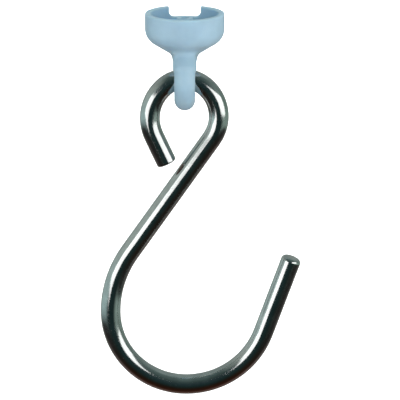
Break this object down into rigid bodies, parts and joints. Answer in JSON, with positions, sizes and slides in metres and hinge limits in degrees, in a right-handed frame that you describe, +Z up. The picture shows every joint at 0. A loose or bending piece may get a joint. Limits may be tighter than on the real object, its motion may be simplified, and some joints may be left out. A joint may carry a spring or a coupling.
{
  "type": "gliding meat hook",
  "caption": "S-shaped steel wire hook hanging by its small loop in the eye of a cup-headed plastic glider that runs in an overhead track.",
  "frame": {"origin": "on the glider's axis, level with where the underside of its head rests on the lips of the track", "axes": "+Z up, +X along the hole of the eye and towards the hook's tip, +Y towards the notch in the rear of the cup; the hook hangs in the XZ plane"},
  "size_m": [0.0599, 0.0234, 0.1174],
  "materials": {
    "glider_plastic": "milky pale blue, slightly translucent, satin as moulded",
    "hook_steel": "bright drawn wire, polished"
  },
  "bodies": {
    "glider": {"glider": "glider_plastic"},
    "hook": {"s_hook": "hook_steel"}
  },
  "joints": [
    {"name": "hook_swing", "type": "hinge", "parent": "glider", "child": "hook", "pos_m": [0, 0, -0.0097], "axis": [1, 0, 0], "range_deg": [-130, 130]}
  ]
}
